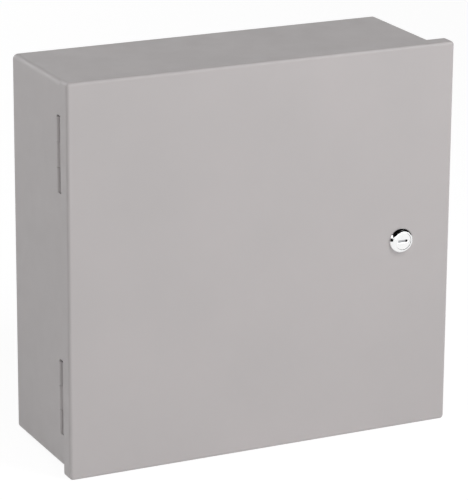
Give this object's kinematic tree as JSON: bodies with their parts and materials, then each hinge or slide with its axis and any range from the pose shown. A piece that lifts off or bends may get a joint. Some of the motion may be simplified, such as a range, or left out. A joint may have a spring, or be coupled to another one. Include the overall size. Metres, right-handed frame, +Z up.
{
  "type": "wall-mount utility enclosure",
  "caption": "Shallow sheet-steel enclosure with a lapped pan door on slot hinges and a key cam lock, bolted to a wall by its back.",
  "frame": {"origin": "middle of the back face, where the enclosure lies on its wall, at the centre of the wall bolts", "axes": "+Z up, +Y into the wall, +X to the right seen from the front; the door faces -Y"},
  "size_m": [0.318, 0.1176, 0.305],
  "materials": {
    "grey_powder_coat": "light warm-grey powder coat, fine orange peel, satin",
    "white_panel_paint": "white satin paint",
    "black_foam": "closed-cell foam, matte",
    "plain_steel": "drawn steel, lightly oiled",
    "zinc_plate": "bright zinc plate",
    "lock_chrome": "polished chrome plate",
    "tumbler_brass": "stamped brass"
  },
  "bodies": {
    "cabinet": {"enclosure_body": "grey_powder_coat", "upper_hinge_body_leaf": "grey_powder_coat", "upper_hinge_pin": "plain_steel", "lower_hinge_body_leaf": "grey_powder_coat", "lower_hinge_pin": "plain_steel", "mounting_panel": "white_panel_paint", "panel_studs": "zinc_plate", "panel_washers": "zinc_plate", "panel_nuts": "zinc_plate", "earth_stud": "zinc_plate", "earth_washer": "zinc_plate", "earth_nut": "zinc_plate"},
    "door": {"door": "grey_powder_coat", "door_gasket": "black_foam", "upper_hinge_door_leaf": "grey_powder_coat", "lower_hinge_door_leaf": "grey_powder_coat", "door_earth_stud": "zinc_plate", "door_earth_washer": "zinc_plate", "door_earth_nut": "zinc_plate", "lock_housing": "lock_chrome", "lock_washer": "zinc_plate", "lock_nut": "zinc_plate"},
    "lock_cylinder": {"lock_plug": "lock_chrome", "lock_wafers": "tumbler_brass", "lock_cam": "zinc_plate", "cam_washer": "zinc_plate", "cam_screw": "zinc_plate"}
  },
  "joints": [
    {"name": "door_hinge", "type": "hinge", "parent": "cabinet", "child": "door", "pos_m": [-0.1533, -0.0905, 0], "axis": [0, 0, -1], "range_deg": [0, 140]},
    {"name": "lock_turn", "type": "hinge", "parent": "door", "child": "lock_cylinder", "pos_m": [0.11895, -0.114, 0], "axis": [0, -1, 0], "range_deg": [0, 90]}
  ]
}
